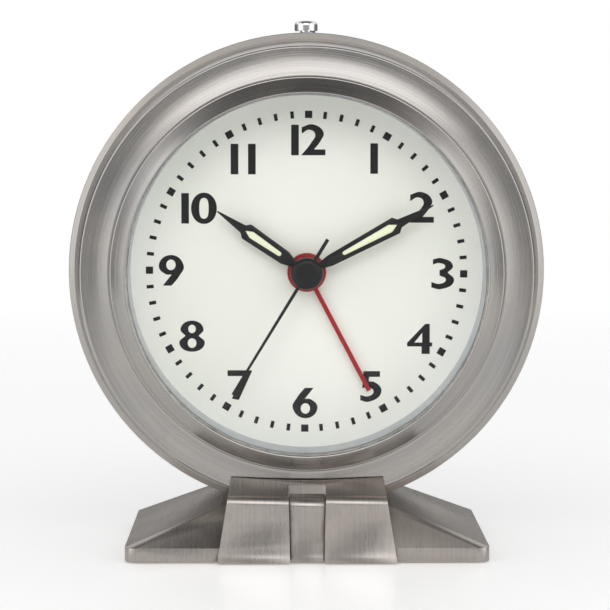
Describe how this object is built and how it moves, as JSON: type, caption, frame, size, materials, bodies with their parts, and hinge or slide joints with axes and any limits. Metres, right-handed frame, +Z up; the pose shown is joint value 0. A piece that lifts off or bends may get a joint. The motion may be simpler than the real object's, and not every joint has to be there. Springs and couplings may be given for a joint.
{
  "type": "desk alarm clock",
  "caption": "Round brushed metal desk alarm clock on a hipped foot, with central hands, a top button and a quartz gear train inside.",
  "frame": {"origin": "centre of the foot on the surface that the clock stands on", "axes": "+Z up, -Y out of the dial, +X to the right as seen from the front"},
  "size_m": [0.118, 0.0626, 0.1325],
  "materials": {
    "brushed_nickel": "fine brushed, satin",
    "foot_nickel": "fine brushed, satin, slightly darker",
    "chrome": "polished",
    "wall_ring": "smooth, pale blue grey",
    "crystal": "clear, polished",
    "dial_cream": "matt cream enamel",
    "hand_black": "gloss black",
    "hand_red": "gloss red",
    "lume": "pale green luminous paint",
    "black_plastic": "moulded, fine texture",
    "movement_plastic": "moulded",
    "gear_plastic": "white moulded acetal",
    "brass": "turned",
    "steel": "zinc plated",
    "iron": "stamped sheet iron",
    "copper_wire": "enamelled copper wire",
    "board": "green solder mask",
    "rubber": "soft, matt",
    "cell_wrap": "printed sleeve without lettering"
  },
  "bodies": {
    "root": {"case_drum": "brushed_nickel", "bezel_ring": "brushed_nickel", "rehaut_ring": "wall_ring", "crystal": "crystal", "dial_plate": "dial_cream", "movement_front_housing": "movement_plastic", "movement_center_plate": "movement_plastic", "movement_rear_housing": "movement_plastic", "movement_screws": "steel", "circuit_board": "board", "quartz_can": "steel", "timing_chip": "black_plastic", "stator_core": "iron", "coil_bobbin": "gear_plastic", "coil_winding": "copper_wire", "rear_cover": "black_plastic", "case_posts": "brass", "rear_cover_screws": "steel", "buzzer": "black_plastic", "alarm_switch_body": "movement_plastic", "battery_cell": "cell_wrap", "battery_contact_plus": "steel", "battery_contact_minus": "steel", "pedestal_cradle": "foot_nickel", "pedestal_center_strip": "foot_nickel", "base_casting": "foot_nickel", "base_plate": "steel", "base_pad": "rubber", "base_screws": "steel", "case_bolts": "steel", "case_nuts": "steel", "button_bush": "chrome", "button_spring": "steel", "snooze_switch": "black_plastic"},
    "seconds_train": {"seconds_wheel": "gear_plastic", "seconds_hand": "hand_black", "center_cap": "hand_black"},
    "rotor": {"rotor": "gear_plastic"},
    "intermediate": {"intermediate_wheel": "gear_plastic"},
    "third": {"third_wheel": "gear_plastic"},
    "centre": {"centre_wheel": "gear_plastic"},
    "minute_train": {"cannon_pinion": "gear_plastic", "minute_hand": "hand_black", "minute_hand_lume": "lume"},
    "idler": {"motion_idler": "gear_plastic"},
    "hour_train": {"hour_wheel": "gear_plastic", "hour_hand": "hand_black", "hour_hand_lume": "lume"},
    "time_setter": {"time_setting_arbor": "gear_plastic", "time_knob": "black_plastic"},
    "alarm_train": {"alarm_wheel": "gear_plastic", "alarm_hand": "hand_red"},
    "alarm_setter": {"alarm_setting_arbor": "gear_plastic", "alarm_knob": "black_plastic"},
    "button": {"alarm_button": "chrome"},
    "door": {"battery_door": "black_plastic"},
    "alarm_switch": {"alarm_switch_slider": "black_plastic"}
  },
  "joints": [
    {"name": "seconds_spin", "type": "hinge", "parent": "root", "child": "seconds_train", "pos_m": [0, 0, 0.07], "axis": [0, 1, 0], "continuous": true},
    {"name": "rotor_spin", "type": "hinge", "parent": "root", "child": "rotor", "pos_m": [0.00692, 0, 0.08797], "axis": [0, 1, 0], "continuous": true},
    {"name": "intermediate_spin", "type": "hinge", "parent": "root", "child": "intermediate", "pos_m": [0.0054, 0, 0.07935], "axis": [0, 1, 0], "continuous": true},
    {"name": "third_spin", "type": "hinge", "parent": "root", "child": "third", "pos_m": [-0.00761, 0, 0.05914], "axis": [0, 1, 0], "continuous": true},
    {"name": "centre_spin", "type": "hinge", "parent": "root", "child": "centre", "pos_m": [0, 0, 0.07], "axis": [0, 1, 0], "continuous": true},
    {"name": "minute_spin", "type": "hinge", "parent": "root", "child": "minute_train", "pos_m": [0, 0, 0.07], "axis": [0, 1, 0], "continuous": true},
    {"name": "idler_spin", "type": "hinge", "parent": "root", "child": "idler", "pos_m": [0.00945, 0, 0.07167], "axis": [0, 1, 0], "continuous": true},
    {"name": "hour_spin", "type": "hinge", "parent": "root", "child": "hour_train", "pos_m": [0, 0, 0.07], "axis": [0, 1, 0], "continuous": true},
    {"name": "time_knob_spin", "type": "hinge", "parent": "root", "child": "time_setter", "pos_m": [0.01681, 0, 0.07784], "axis": [0, 1, 0], "continuous": true},
    {"name": "alarm_spin", "type": "hinge", "parent": "root", "child": "alarm_train", "pos_m": [0, 0, 0.07], "axis": [0, 1, 0], "continuous": true},
    {"name": "alarm_knob_spin", "type": "hinge", "parent": "root", "child": "alarm_setter", "pos_m": [-0.0152, 0, 0.07784], "axis": [0, 1, 0], "continuous": true},
    {"name": "button_press", "type": "slide", "parent": "root", "child": "button", "axis": [0, 0, -1], "range_m": [0, 0.0014], "stiffness_N_per_m": 700, "springref_m": -0.0008, "deforming": ["button_spring"]},
    {"name": "door_slide", "type": "slide", "parent": "root", "child": "door", "axis": [-1, 0, 0], "range_m": [0, 0.03]},
    {"name": "alarm_switch_slide", "type": "slide", "parent": "root", "child": "alarm_switch", "axis": [1, 0, 0], "range_m": [0, 0.005]}
  ],
  "couplings": [
    {"joint": "intermediate_spin", "follows": "seconds_spin", "ratio": -5},
    {"joint": "rotor_spin", "follows": "seconds_spin", "ratio": 30},
    {"joint": "third_spin", "follows": "seconds_spin", "ratio": -0.13333},
    {"joint": "centre_spin", "follows": "seconds_spin", "ratio": 0.016667},
    {"joint": "idler_spin", "follows": "minute_spin", "ratio": -0.33333},
    {"joint": "hour_spin", "follows": "minute_spin", "ratio": 0.083333},
    {"joint": "time_knob_spin", "follows": "minute_spin", "ratio": 1},
    {"joint": "alarm_knob_spin", "follows": "alarm_spin", "ratio": -2}
  ]
}
